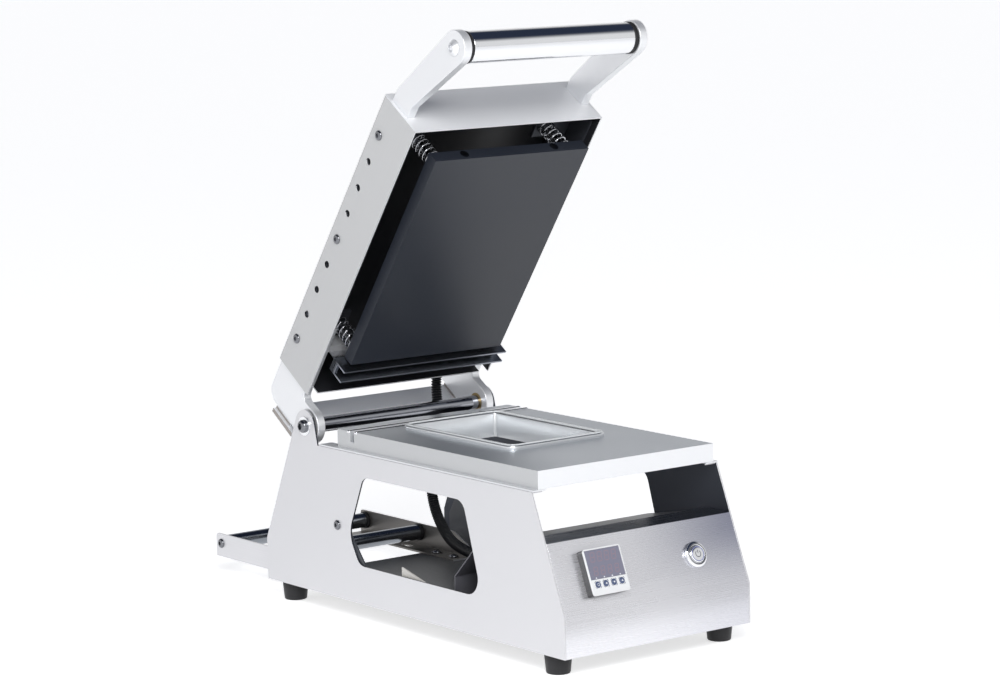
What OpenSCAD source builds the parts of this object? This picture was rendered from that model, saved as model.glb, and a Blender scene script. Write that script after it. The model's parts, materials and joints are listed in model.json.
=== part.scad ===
// Manual tray sealing machine with a hinged heated lid, a mould plate and a film cradle.
// Millimetres. +X to the right, +Y to the rear, +Z up. The machine stands on z = 0 with the
// middle of its length on y = 0. The lid stands open against its stop.

/* [Base] */
// Width over the two side plates
base_w = 250; // [235:1:320]
// Length of the side plates at the bottom
base_len = 527; // [520:1:640]
// Thickness of the side plates
side_sheet = 2; // [1.5:0.5:3]
// Height of the deck above the base's lower edge
deck_z = 164; // [160:1:200]
// Height of the upright part of the front
kink_z = 42.5; // [30:0.5:60]
// How far the deck's front corner stands behind the front
front_setback = 50; // [30:1:60]
// Height of the front panel's top
panel_top_z = 114; // [105:1:125]
// Depth of the front panel's top flange
panel_flange = 36; // [20:1:50]
// Thickness of the front panel
panel_sheet = 2; // [1.5:0.5:3]
// Height of the rubber feet
foot_h = 20.5; // [15:0.5:30]
// Diameter of a foot at its top
foot_top_d = 29; // [24:1:34]
// Diameter of a foot at the floor
foot_low_d = 25; // [20:1:28]

/* [Hinge] */
// Distance of the hinge in front of the base's rear end
hinge_inset = 79.7; // [72:0.1:86]
// Height of the hinge above the deck
pivot_rise = 18.6; // [16:0.1:24]
// Radius of the side plates' ears
ear_r = 18; // [16:0.5:22]
// Diameter of the hinge shaft
shaft_d = 16; // [12:1:20]
// Angle of the open lid
open_angle = 55.1; // [40:0.1:60]
// Thickness of the lid arms and the handle arms
arm_t = 10; // [8:0.5:12]
// Radius of the lid arms' bosses
boss_r = 20.5; // [18:0.5:22]
// Radial clearance of everything that runs
run_gap = 0.05; // [0.02:0.01:0.1]

/* [Mould] */
// Distance of the mould plate's sides inside the base's sides
mould_side = 7.5; // [5:0.5:12]
// Distance of the mould plate's rear end in front of the hinge
mould_inset = 51.3; // [50:0.1:58]
// Thickness of the mould plate
mould_t = 19.3; // [16:0.1:24]
// Distance of the mould plate's front behind the front
mould_y = 48; // [44:1:52]
// Thickness of the rails under the mould plate
rail_t = 1.8; // [1:0.1:3]
// Width of the tray opening
tray_w = 114; // [90:1:150]
// Length of the tray opening
tray_len = 174; // [140:1:180]
// Distance of the tray opening's middle in front of the hinge
tray_u = 193.3; // [190:0.1:200]
// Width of the seat around the tray opening
seat_rim = 10; // [8:0.5:11]
// Height of the seat above the mould plate
seat_h = 4.6; // [3:0.1:6]
// Height of the silicone gasket above the seat
gasket_h = 1.2; // [0.8:0.1:2]
// Width of the cutter slot
slot_w = 7.3; // [6:0.1:9]
// Depth of the cutter slot
slot_depth = 11.5; // [10:0.5:13]

/* [Lid] */
// How much wider than the base the lid is
lid_over = 1; // [0:0.5:3]
// Distance of the lid's rear wall from the hinge axis
lid_rear = 32.5; // [28:0.5:36]
// Distance of the lid's front behind the mould plate's front
lid_inset = 2.8; // [1:0.1:6]
// Height of the lid's rim over the hinge axis, lid closed
lid_rim = 15; // [12:0.5:18]
// Depth of the lid
lid_depth = 64.5; // [64:0.5:72]
// Thickness of the lid sheet
lid_sheet = 1.5; // [1:0.1:2]
// Distance of the heater plate's sides inside the base's sides
heater_side = 22.5; // [22:0.5:28]
// Length of the heater plate
heater_len = 281; // [240:1:290]
// Thickness of the heater plate
heater_t = 14.3; // [12:0.1:15]
// Distance of the springs inside the base's sides
spring_side = 37; // [35:0.5:40]
// Outer diameter of the springs
spring_d = 18.5; // [14:0.5:20]
// Wire of the springs
spring_wire = 2; // [1.5:0.1:2.4]
// Turns of each spring
spring_turns = 6; // [5:0.5:8]

/* [Handle] */
// Diameter of the handle tube
grip_d = 33.2; // [26:0.2:36]
// Distance of the handle tube in front of the lid
grip_out = 108.5; // [100:0.5:140]
// Height of the handle tube over the hinge axis, lid closed
grip_rise = 13.7; // [8:0.1:20]

/* [Film cradle] */
// How far the cradle reaches behind the base
cradle_over = 137; // [125:1:170]
// Diameter of the film rollers
roller_d = 17.6; // [14:0.2:20]
// Spacing of the two film rollers
roller_pitch = 107.4; // [90:0.2:125]
// Height of the cradle's webs
web_h = 27; // [24:0.5:32]
// Diameter of the conduit from the lid
conduit_d = 12.7; // [8:0.1:14]

/* [Hidden] */
$fn = 48;

// Colours
BRUSHED = "#c9cace";
SATIN = "#b9bcc2";
MOULD = "#9fa7b0";
DARK = "#2b3038";
RUBBER = "#17181a";
CHROME = "#d8dce2";

// Base
half_w = base_w / 2;
inner_x = half_w - side_sheet;
lean = atan(front_setback / (deck_z - kink_z));
panel_len = (panel_top_z - kink_z) / cos(lean);
panel_top_y = (panel_top_z - kink_z) * tan(lean);
pivot_y = base_len - hinge_inset;
pivot_z = deck_z + pivot_rise;
reach = base_len + cradle_over;
notch_y = pivot_y - 23.3;
rear_step_z = 47;
flange_w = 14;
pan_t = 2;
pan_rear_y = base_len - 13;
gusset_top_z = 94;
foot_x = half_w - 16.5;
foot_ys = [31, base_len - 30];
side_screw = [pivot_y - 57.9, 80.9];
screw_r = 3;
head_r = 5.4;
head_h = 3;

// Mould
mould_w = base_w - 2 * mould_side;
mould_len = pivot_y - mould_inset - mould_y;
tray_y = pivot_y - tray_u;
mould_z = deck_z + rail_t;
mould_top = mould_z + mould_t;
seat_top = mould_top + seat_h + gasket_h;
skirt = 2;
skirt_drop = 3;
knife_u = 78.5;
slot_y = pivot_y - knife_u;
strip_w = 5.6;
strip_gap = 0.35;
strip_seat = 1.5;
strip_proud = 1.2;
strip_over = 1.5;
strip_y = slot_w / 2 + strip_gap + strip_w / 2;

// Lid, measured from the hinge axis with the lid closed: y is minus the distance, z the height
arm_out = inner_x - 1.65;
arm_in = arm_out - arm_t;
bush_wall = 2.5;
bush_flange = 1.35;
lid_w = base_w + lid_over;
lid_len = pivot_y - mould_y - lid_inset - lid_rear;
lid_inner_x = lid_w / 2 - lid_sheet;
lid_top = lid_rim + lid_depth;
lid_front = lid_rear + lid_len;
arm_len = 118;
side_pitch = (lid_len - 82.4) / 8;
side_first = lid_rear + 40.5;
side_hole_z = lid_top - 16.5;
vent_r = 4;
heater_w = base_w - 2 * heater_side;
heater_rear = tray_u - heater_len / 2 + 39.2;
heater_gap = 0.3;
heater_face = -6.8;
head_travel = seat_top + heater_gap - pivot_z - heater_face;
heater_back = heater_face + heater_t;
spring_x = half_w - spring_side;
spring_us = [heater_rear + 10, heater_rear + heater_len - 14.5];
post_r = 4;
post_head = 4;
post_clear = 2.6;
bracket_t = 4;
bracket_len = 28;
bracket_z = lid_top - lid_sheet - post_clear - head_travel - post_head - bracket_t;
bar_tip = mould_top + strip_proud + heater_gap - pivot_z - head_travel;
bar_top = heater_back + 5.2;
bar_t = 2;
stop_in = boss_r + 2.9;
stop_t = 5;
stop_low = 14.2;
stop_top = 57;
blade_t = 1.2;
blade_tip = mould_top - 6.3 - pivot_z;
holder_z = bar_top + head_travel + 2;
grip_reach = lid_front + grip_out;
grip_boss = grip_d / 2 + 1.9;
ring_t = 5;
handle_screw_zs = [lid_top - 20, lid_top - 34];
lid_gland = [80, -lid_rear, 45];

// Controls
control_s = panel_len / 2 + 0.8;
controller_x = -65;
controller_size = 48;
bezel_t = 11;
window_size = [45.4, 30.2];
window_s = 7.4;
key_pitch = 10.4;
key_r = 3.3;
key_s = -13.2;
key_travel = 0.5;
power_x = 61.6;
power_r = 9;
power_rim_h = 4.5;
cover_top_z = panel_top_z - panel_sheet;
cover_t = 1.5;
cover_low_z = panel_top_z - 18;
cover_sum = 248;
cover_wall_z = 54;
cover_wall_y = cover_sum - cover_wall_z;
gland_z = 38;
gland_r = 8;
gland_nut_r = 11.5;
conduit_x = 8;
mains_x = 66;
mains_bore_r = 4;

// Film cradle
web_x = half_w - 21.5;
web_t = 2;
web_z = pan_t;
cradle_y = pan_rear_y - 64;
cradle_flange = 26;
roller_rear_y = reach - 10.2;
roller_front_y = roller_rear_y - roller_pitch;
roller_rear_z = 17.6;
roller_front_z = 19.1;
axle_r = 4;
bush_len = 3.5;

// Route of the conduit from the lid's gland to the control box
conduit_route = [
    [80, 468.5, 230.8], [80, 473.3, 223.9], [79.6, 476.3, 217.5], [78.8, 477.3, 208.5],
    [77, 475.5, 198], [74.5, 471, 186.5], [72, 466, 175.5], [69, 463.6, 165], [66, 463, 154],
    [62, 462.5, 139], [57, 460.5, 122], [53, 457, 104], [48, 449, 87], [43, 437, 71],
    [38, 420, 56], [33, 399, 44], [28, 375, 38], [22, 345, 36], [16, 310, 36], [11, 275, 37],
    [8, 245, 38], [8, 218, 38], [8, 199, 38],
];

// ---- helpers ----

function unit(v) = v / norm(v);

// A round corner at q between p and s
function corner(p, q, s, r, n) =
    let (a = unit(p - q), b = unit(s - q), half = acos(a * b) / 2,
         c = q + unit(a + b) * r / sin(half),
         t0 = q + a * r / tan(half) - c, t1 = q + b * r / tan(half) - c,
         a0 = atan2(t0.y, t0.x), sweep = (atan2(t1.y, t1.x) - a0 + 540) % 360 - 180)
    [for (i = [0:n]) c + r * [cos(a0 + sweep * i / n), sin(a0 + sweep * i / n)]];

// An outline of points [a, b, corner radius]
function rounded(pts, n = 6) =
    let (m = len(pts), flat = [for (p = pts) [p.x, p.y]])
    [for (i = [0:m - 1]) each (pts[i].z > 0
        ? corner(flat[(i + m - 1) % m], flat[i], flat[(i + 1) % m], pts[i].z, n)
        : [flat[i]])];

function box_outline(w, l, r) =
    [[-w / 2, -l / 2, r], [w / 2, -l / 2, r], [w / 2, l / 2, r], [-w / 2, l / 2, r]];

function left_of(a, b) = let (d = unit(b - a)) [-d.y, d.x];

// The outline of a folded sheet along a line, t thick to the right of it
function folded(p, t) =
    concat(p, [for (i = [len(p) - 1:-1:0])
        let (n1 = left_of(p[max(i - 1, 0)], p[max(i, 1)]),
             n2 = left_of(p[min(i, len(p) - 2)], p[min(i + 1, len(p) - 1)]))
        p[i] - (n1 + n2) * t / (1 + n1 * n2)]);

// Where a line from p touches a circle, on the side given by turn
function touch(p, c, r, turn) =
    let (d = p - c) atan2(d.y, d.x) + turn * acos(r / norm(d));

function arc(c, r, a0, a1, n) =
    [for (i = [0:n]) c + r * [cos(a0 + (a1 - a0) * i / n), sin(a0 + (a1 - a0) * i / n)]];

// Extrudes an outline of (y, z) points along X, centred on x
module across(width, x = 0) {
    translate([x - width / 2, 0, 0]) rotate([90, 0, 90]) linear_extrude(width) children();
}

module rod(r, width, x = 0) {
    translate([x - width / 2, 0, 0]) rotate([0, 90, 0]) cylinder(r = r, h = width);
}

module both_sides() {
    children();
    mirror([1, 0, 0]) children();
}

// A button-head screw along -Z with its head on z = 0
module button_screw(r = screw_r, length = 8) {
    rotate_extrude() polygon([
        [0, -length], [r, -length], [r, 0], [head_r, 0], [head_r, 0.8],
        [head_r * 0.72, head_h - 0.6], [head_r * 0.4, head_h], [0, head_h]]);
}

// A tube along a list of points, as one closed skin
module tube(points, r, sides) {
    n = len(points);
    function along(i) = unit(points[min(i + 1, n - 1)] - points[max(i - 1, 0)]);
    function side_of(d) = unit(cross(d, abs(d.x) > 0.9 ? [0, 0, 1] : [1, 0, 0]));
    skin = [for (i = [0:n - 1]) let (d = along(i), a = side_of(d), b = cross(d, a))
        for (k = [0:sides - 1]) points[i] + r * (a * cos(360 * k / sides) + b * sin(360 * k / sides))];
    walls = [for (i = [0:n - 2], k = [0:sides - 1]) let (m = (k + 1) % sides)
        each [[i * sides + k, (i + 1) * sides + k, (i + 1) * sides + m],
              [i * sides + k, (i + 1) * sides + m, i * sides + m]]];
    ends = [[for (k = [0:sides - 1]) k], [for (k = [sides - 1:-1:0]) (n - 1) * sides + k]];
    polyhedron(points = skin, faces = concat(walls, ends), convexity = 10);
}

// The machine's own frame: the floor and the middle of its length
module machine() {
    translate([0, -reach / 2, foot_h]) children();
}

// The lid's frame: the hinge axis, turned to the open pose
module lid_frame() {
    machine() translate([0, pivot_y, pivot_z]) rotate([-open_angle, 0, 0]) children();
}

// A point on the sloping front panel, with Z out of it and Y up it
module on_panel(x, s) {
    machine() translate([x, s * sin(lean), kink_z + s * cos(lean)]) rotate([90 - lean, 0, 0])
        children();
}

// A place on the rear wall of the control box, with Z out of it
module at_box_wall(x) {
    machine() translate([x, cover_wall_y, gland_z]) rotate([-90, 0, 0]) children();
}

// ---- base ----

function side_outline() =
    let (ear = [pivot_y, pivot_z], low_rear = [base_len, rear_step_z], notch = [notch_y, deck_z],
         a_front = touch(notch, ear, ear_r, -1), a_rear = touch(low_rear, ear, ear_r, 1))
    concat([[0, 0], [0, kink_z], [front_setback, deck_z], notch],
           arc(ear, ear_r, a_front + 360, a_rear, 24), [low_rear, [base_len, 0]]);

// The window's corners lie on the plate's own lines
window_outline = [
    [139.7, 60, 18], [164, 139.7, 15], [pivot_y - 107.3, 139.7, 12],
    [pivot_y - 78.6, 74.2, 30], [pivot_y - 97, 42, 16], [146, 42, 18],
];

module side_plate() {
    color(BRUSHED) machine() difference() {
        union() {
            across(side_sheet, half_w - side_sheet / 2) polygon(side_outline());
            translate([inner_x - flange_w, front_setback + 2, deck_z - side_sheet])
                cube([flange_w, notch_y - front_setback - 2, side_sheet]);
        }
        across(3 * side_sheet, half_w - side_sheet / 2) polygon(rounded(window_outline));
        translate([0, pivot_y, pivot_z]) rod(4.2, 3 * side_sheet, half_w - side_sheet / 2);
        translate([0, side_screw.x, side_screw.y])
            rod(screw_r + 0.2, 3 * side_sheet, half_w - side_sheet / 2);
    }
}

module side_plate_left() {
    mirror([1, 0, 0]) side_plate();
}

module side_plate_right() {
    side_plate();
}

module front_panel() {
    color(BRUSHED) difference() {
        machine() across(2 * inner_x) polygon(folded([
            [0, 0], [0, kink_z], [panel_top_y, panel_top_z],
            [panel_top_y + panel_flange, panel_top_z]], panel_sheet));
        on_panel(controller_x, control_s)
            cube([controller_size - 3, controller_size - 3, 12], center = true);
        on_panel(power_x, control_s) cylinder(r = 11.1, h = 12, center = true);
    }
}

module base_pan() {
    tab_front = 230;
    tab_rear = 279.6;
    color(DARK) machine() difference() {
        union() {
            translate([-inner_x, panel_sheet, 0])
                cube([2 * inner_x, pan_rear_y - panel_sheet, pan_t]);
            both_sides() across(pan_t, inner_x - pan_t / 2) polygon([
                [pivot_y - 140.9, 0], [pivot_y - 62.2, gusset_top_z],
                [pan_rear_y - 30, gusset_top_z],
                [pan_rear_y, gusset_top_z - 50], [pan_rear_y, 0]]);
            both_sides() across(pan_t, inner_x - 2 * pan_t) polygon([
                [tab_front, 0], [tab_front, 38], [tab_rear, 50.5], [tab_rear, 0]]);
        }
        for (x = [-foot_x, foot_x], y = foot_ys)
            translate([x, y, -1]) cylinder(r = screw_r + 0.2, h = pan_t + 2);
        translate([0, side_screw.x, side_screw.y]) rod(screw_r + 0.1, base_w);
        for (x = [-1, 1], y = [cradle_y + 14, cradle_y + 46])
            translate([x * (web_x - 15), y, -1]) cylinder(r = screw_r + 0.1, h = pan_t + 2);
    }
}

module control_box_cover() {
    color("#3a3d44") difference() {
        machine() across(2 * (inner_x - 4 * pan_t)) polygon(folded([
            [panel_top_y + 14, cover_top_z], [panel_top_y + panel_flange + 2, cover_top_z],
            [cover_sum - cover_low_z, cover_low_z],
            [cover_wall_y, cover_wall_z], [cover_wall_y, pan_t + cover_t],
            [cover_wall_y + 14, pan_t + cover_t]], cover_t));
        for (x = [conduit_x, mains_x]) at_box_wall(x)
            cylinder(r = gland_r + 0.1, h = 4 * cover_t, center = true);
    }
}

module mould_rails() {
    color(SATIN) machine() both_sides()
        translate([inner_x - flange_w - 2, mould_y, deck_z])
            cube([flange_w + 3, notch_y - mould_y - 2, rail_t]);
}

module rubber_feet() {
    color(RUBBER) machine() for (x = [-foot_x, foot_x], y = foot_ys) translate([x, y, 0])
        rotate_extrude() polygon([
            [screw_r + 0.1, 0], [foot_top_d / 2, 0], [foot_low_d / 2, -foot_h],
            [7, -foot_h], [7, -7], [screw_r + 0.1, -7]]);
}

module foot_screws() {
    color(CHROME) machine() for (x = [-foot_x, foot_x], y = foot_ys) translate([x, y, 0])
        rotate_extrude() polygon([
            [0, -10], [5.5, -10], [5.5, -7], [screw_r, -7], [screw_r, pan_t], [4.8, pan_t],
            [4.8, pan_t + 4], [0, pan_t + 4]]);
}

// Button-head screws of the side plates, of the cradle's brackets and of the roller axles
module frame_screws() {
    color(CHROME) machine() {
        both_sides() {
            translate([half_w, side_screw.x, side_screw.y]) rotate([0, 90, 0])
                button_screw(length = side_sheet + pan_t + 3);
            for (y = [cradle_y + 14, cradle_y + 46]) translate([web_x - 15, y, pan_t + web_t])
                button_screw(length = web_t + pan_t);
            translate([web_x, roller_rear_y, roller_rear_z]) rotate([0, 90, 0])
                button_screw(r = 2.5, length = web_t + 6);
            translate([web_x, roller_front_y, roller_front_z]) rotate([0, 90, 0])
                button_screw(r = 2.5, length = web_t + 6);
        }
    }
}

module mould_plate() {
    mid_y = mould_y + mould_len / 2;
    color(MOULD) machine() difference() {
        translate([0, mid_y, mould_z]) linear_extrude(mould_t)
            square([mould_w, mould_len], center = true);
        translate([0, tray_y, mould_z - 1]) linear_extrude(mould_t + 2)
            polygon(rounded(box_outline(tray_w + 2 * skirt, tray_len + 2 * skirt, 10)));
        translate([-mould_w, slot_y - slot_w / 2, mould_top - slot_depth])
            cube([2 * mould_w, slot_w, slot_depth + 1]);
        for (side = [-1, 1])
            translate([-mould_w, slot_y + side * strip_y - strip_w / 2, mould_top - strip_seat])
                cube([2 * mould_w, strip_w, strip_seat + 1]);
    }
}

module tray_seat_frame() {
    color("#c2c8cf") machine() translate([0, tray_y, 0]) difference() {
        union() {
            translate([0, 0, mould_z - skirt_drop]) linear_extrude(mould_t + skirt_drop)
                polygon(rounded(box_outline(tray_w + 2 * skirt, tray_len + 2 * skirt, 10)));
            translate([0, 0, mould_top]) linear_extrude(seat_h)
                polygon(rounded(box_outline(tray_w + 2 * seat_rim, tray_len + 2 * seat_rim, 14)));
        }
        translate([0, 0, mould_z - skirt_drop - 1]) linear_extrude(mould_t + skirt_drop + seat_h + 2)
            polygon(rounded(box_outline(tray_w, tray_len, 9)));
    }
}

module seat_gasket() {
    inset = 3;
    color("#d9dde0") machine() translate([0, tray_y, seat_top - gasket_h])
        linear_extrude(gasket_h) difference() {
            polygon(rounded(box_outline(
                tray_w + 2 * seat_rim - inset, tray_len + 2 * seat_rim - inset, 12.5)));
            polygon(rounded(box_outline(tray_w + inset, tray_len + inset, 10)));
        }
}

module film_clamp_strips() {
    width = mould_w + 2 * strip_over;
    color(CHROME) machine() for (side = [-1, 1])
        translate([0, slot_y + side * strip_y, mould_top - strip_seat])
            across(width) polygon([
                [-strip_w / 2, 0], [strip_w / 2, 0], [strip_w / 2, strip_seat],
                [strip_w / 4, strip_seat + strip_proud], [-strip_w / 4, strip_seat + strip_proud],
                [-strip_w / 2, strip_seat]]);
}

module hinge_shaft() {
    color("#4a4f58") machine() translate([0, pivot_y, pivot_z]) difference() {
        rod(shaft_d / 2, 2 * inner_x);
        both_sides() rod(4.05, 44, inner_x);
    }
}

module hinge_bolts() {
    color(CHROME) machine() translate([0, pivot_y, pivot_z]) both_sides()
        translate([half_w + 1.6, 0, 0]) rotate([0, 90, 0]) rotate_extrude() polygon([
            [0, -20], [4, -20], [4, 0], [7.3, 0], [7.3, 2.4], [6.2, 4.2], [4, 5.3], [0, 5.8]]);
}

module hinge_washers() {
    color(CHROME) machine() translate([0, pivot_y, pivot_z]) both_sides() difference() {
        rod(10.5, 1.6, half_w + 0.8);
        rod(4.2, 4, half_w + 0.8);
    }
}

// ---- film cradle ----

module film_bracket() {
    color("#a09e9a") machine() difference() {
        union() {
            across(web_t, web_x - web_t / 2) polygon(rounded([
                [cradle_y, web_z, 0], [cradle_y, web_z + 12, 0],
                [cradle_y + 30, web_z + web_h, 4], [reach, web_z + web_h, 4],
                [reach, web_z, 0]], 4));
            translate([web_x - cradle_flange, cradle_y, web_z])
                cube([cradle_flange, reach - cradle_y - 6, web_t]);
        }
        translate([0, roller_rear_y, roller_rear_z]) rod(2.6, 3 * web_t, web_x - web_t / 2);
        translate([0, roller_front_y, roller_front_z]) rod(2.6, 3 * web_t, web_x - web_t / 2);
        for (y = [cradle_y + 14, cradle_y + 46, cradle_y + 104, cradle_y + 160])
            translate([web_x - 15, y, web_z - 1]) {
                for (end = [-6, 6]) translate([0, end, 0]) cylinder(r = 3.4, h = web_t + 2);
                translate([-3.4, -6, 0]) cube([6.8, 12, web_t + 2]);
            }
    }
}

module film_bracket_left() {
    mirror([1, 0, 0]) film_bracket();
}

module film_bracket_right() {
    film_bracket();
}

module at_rollers() {
    machine() {
        translate([0, roller_rear_y, roller_rear_z]) children();
        translate([0, roller_front_y, roller_front_z]) children();
    }
}

module roller_axles() {
    color(CHROME) at_rollers() difference() {
        rod(axle_r, 2 * (web_x - web_t));
        both_sides() rod(2.6, 14, web_x - web_t);
    }
}

module roller_bushes() {
    color(RUBBER) at_rollers() both_sides() difference() {
        rod(roller_d / 2 + 1.2, bush_len, web_x - web_t - bush_len / 2);
        rod(axle_r + 0.02, 3 * bush_len, web_x - web_t - bush_len / 2);
    }
}

module film_roller() {
    length = 2 * (web_x - web_t - bush_len - 0.3);
    color("#565c66") difference() {
        rod(roller_d / 2, length);
        rod(axle_r + run_gap, length + 2);
    }
}

module film_roller_front() {
    machine() translate([0, roller_front_y, roller_front_z]) film_roller();
}

module film_roller_rear() {
    machine() translate([0, roller_rear_y, roller_rear_z]) film_roller();
}

// ---- controls ----

module controller_body() {
    depth = 46;
    size = controller_size - 3.6;
    color(RUBBER) on_panel(controller_x, control_s) translate([0, 0, -depth / 2])
        cube([size, size, depth], center = true);
}

module controller_bezel() {
    color("#eceef0") on_panel(controller_x, control_s) difference() {
        linear_extrude(bezel_t)
            polygon(rounded(box_outline(controller_size, controller_size, 2.5), 4));
        translate([0, window_s, bezel_t - 1.2]) linear_extrude(2)
            square(window_size, center = true);
        for (k = [-1.5, -0.5, 0.5, 1.5])
            translate([k * key_pitch, key_s, 2]) cylinder(r = key_r + 0.15, h = bezel_t);
    }
}

module controller_window() {
    color("#7c7d8d") on_panel(controller_x, control_s) translate([0, window_s, bezel_t - 1.2])
        linear_extrude(1) square([window_size.x - 0.2, window_size.y - 0.2], center = true);
}

module controller_key(place) {
    color("#26324f") on_panel(controller_x, control_s)
        translate([(place - 2.5) * key_pitch, key_s, 2 + key_travel + 0.2])
            cylinder(r = key_r, h = bezel_t - 2 - key_travel - 0.2 + 0.8);
}

module controller_key_1() {
    controller_key(1);
}

module controller_key_2() {
    controller_key(2);
}

module controller_key_3() {
    controller_key(3);
}

module controller_key_4() {
    controller_key(4);
}

module power_switch_housing() {
    color(CHROME) on_panel(power_x, control_s) rotate_extrude() polygon([
        [power_r + 0.1, -22], [11, -22], [11, 0], [13.7, 0], [13.7, power_rim_h - 1.8],
        [12.4, power_rim_h], [power_r + 0.1, power_rim_h]]);
}

module power_switch_nut() {
    color(CHROME) on_panel(power_x, control_s) translate([0, 0, -panel_sheet - 4])
        difference() {
            cylinder(r = 15, h = 4, $fn = 6);
            translate([0, 0, -1]) cylinder(r = 11.1, h = 6);
        }
}

module power_switch_body() {
    color(RUBBER) on_panel(power_x, control_s) translate([-10, -10, -44]) cube([20, 20, 22]);
}

module power_button() {
    color("#dfe3ea") on_panel(power_x, control_s) rotate_extrude() polygon([
        [0, -14], [power_r - 0.1, -14], [power_r, power_rim_h + 0.6],
        [power_r - 0.6, power_rim_h + 1.2], [0, power_rim_h + 1.4]]);
}

// A screwed gland in a wall, with its lock nut behind the wall and its cap in front
module gland(wall_t, grip_r, bore_r) {
    difference() {
        union() {
            translate([0, 0, -10]) cylinder(r = gland_r, h = 20);
            translate([0, 0, -wall_t - 4]) cylinder(r = gland_nut_r, h = 4, $fn = 6);
            cylinder(r = gland_nut_r, h = 6, $fn = 6);
            translate([0, 0, 6]) cylinder(r = gland_r + 1.5, h = 7);
        }
        translate([0, 0, -11]) cylinder(r = bore_r, h = 30);
        translate([0, 0, 4]) cylinder(r = grip_r, h = 20);
    }
}

module conduit_gland_base() {
    color("#3c4148") at_box_wall(conduit_x) gland(cover_t, conduit_d / 2, conduit_d / 2 - 1.5);
}

module mains_gland() {
    color(RUBBER) at_box_wall(mains_x) gland(cover_t, mains_bore_r, mains_bore_r);
}

module solid_state_relay() {
    color("#1f2227") machine() translate([-100, 110, pan_t]) {
        cube([58, 45, 8]);
        translate([2, 2, 8]) cube([54, 41, 18]);
    }
}

module terminal_block() {
    color("#d8d2c0") machine() translate([10, 120, pan_t]) difference() {
        cube([72, 22, 16]);
        for (i = [0:5]) translate([7 + i * 11.6, 11, 6]) cylinder(r = 3, h = 12);
    }
}

module heater_conduit() {
    color(RUBBER) machine() tube(conduit_route, conduit_d / 2 - 0.2, 10);
}

// ---- lid ----

module at_side_screws() {
    both_sides() for (i = [0, 4, 8])
        translate([lid_w / 2, -(side_first + i * side_pitch), side_hole_z]) rotate([0, 90, 0])
            children();
}

module lid_shell() {
    fold = 4;
    w = lid_w / 2;
    inner = w - lid_sheet;
    color(BRUSHED) lid_frame() difference() {
        union() {
            translate([0, -lid_rear, 0]) rotate([90, 0, 0]) linear_extrude(lid_len) polygon(rounded([
                [w, lid_rim, 0], [w, lid_top, fold], [-w, lid_top, fold], [-w, lid_rim, 0],
                [-inner, lid_rim, 0], [-inner, lid_top - lid_sheet, fold - lid_sheet],
                [inner, lid_top - lid_sheet, fold - lid_sheet], [inner, lid_rim, 0]]));
            translate([-inner, -lid_front, lid_rim])
                cube([2 * inner, lid_sheet, lid_depth - lid_sheet]);
            translate([-arm_in, -lid_rear - lid_sheet, lid_rim])
                cube([2 * arm_in, lid_sheet, lid_depth - lid_sheet]);
        }
        both_sides() for (i = [0:8])
            translate([lid_w / 2, -(side_first + i * side_pitch), side_hole_z]) rotate([0, 90, 0])
                cylinder(r = i % 4 == 0 ? screw_r + 0.2 : vent_r, h = 3 * lid_sheet, center = true);
        translate(lid_gland) rotate([90, 0, 0])
            cylinder(r = gland_r + 0.1, h = 4 * lid_sheet, center = true);
        both_sides() for (z = handle_screw_zs) translate([arm_out - arm_t / 2, -lid_front, z])
            rotate([90, 0, 0]) cylinder(r = screw_r + 0.1, h = 3 * lid_sheet, center = true);
    }
}

module lid_arm() {
    rear = boss_r;
    color("#c6cbd1") lid_frame() difference() {
        union() {
            rod(boss_r, arm_t, arm_out - arm_t / 2);
            across(arm_t, arm_out - arm_t / 2) polygon(rounded([
                [rear, 0, 0], [rear, lid_top - lid_sheet, 16], [-arm_len, lid_top - lid_sheet, 0],
                [-arm_len, 24, 0], [-boss_r + 1.5, 24, 8], [-boss_r, 0, 0]]));
        }
        rod(shaft_d / 2 + bush_wall, 3 * arm_t, arm_out);
    }
}

module lid_arm_left() {
    mirror([1, 0, 0]) lid_arm();
}

module lid_arm_right() {
    lid_arm();
}

module arm_bushings() {
    color("#a98f5a") lid_frame() both_sides() difference() {
        union() {
            rod(shaft_d / 2 + bush_wall, arm_t, arm_out - arm_t / 2);
            rod(shaft_d / 2 + bush_wall + 3, bush_flange, arm_out + bush_flange / 2);
        }
        rod(shaft_d / 2 + run_gap, 4 * arm_t, arm_out);
    }
}

module lid_side_rails() {
    thick = lid_inner_x - arm_out;
    color(SATIN) lid_frame() difference() {
        both_sides() translate([arm_out, -lid_front + 12, lid_rim + 9])
            cube([thick, lid_len - 20, lid_depth - 16]);
        both_sides() for (i = [0:8])
            translate([arm_out, -(side_first + i * side_pitch), side_hole_z]) rotate([0, 90, 0])
                cylinder(r = i % 4 == 0 ? screw_r + 0.1 : vent_r, h = 4 * thick, center = true);
    }
}

module lid_side_screws() {
    color(CHROME) lid_frame() at_side_screws()
        button_screw(length = lid_w / 2 - arm_out - 0.2);
}

module rear_stop_bar() {
    color("#cac7c2") lid_frame() difference() {
        union() {
            translate([-half_w, stop_in, stop_low]) cube([base_w, stop_t, stop_top - stop_low]);
            both_sides() translate([arm_in, boss_r, stop_low + 12])
                cube([arm_t, stop_in - boss_r, stop_top - stop_low - 12]);
        }
        both_sides() for (z = [20, 36]) translate([arm_out - arm_t / 2, boss_r - 1, stop_low + z])
            rotate([-90, 0, 0]) cylinder(r = screw_r + 0.1, h = 20);
    }
}

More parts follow.
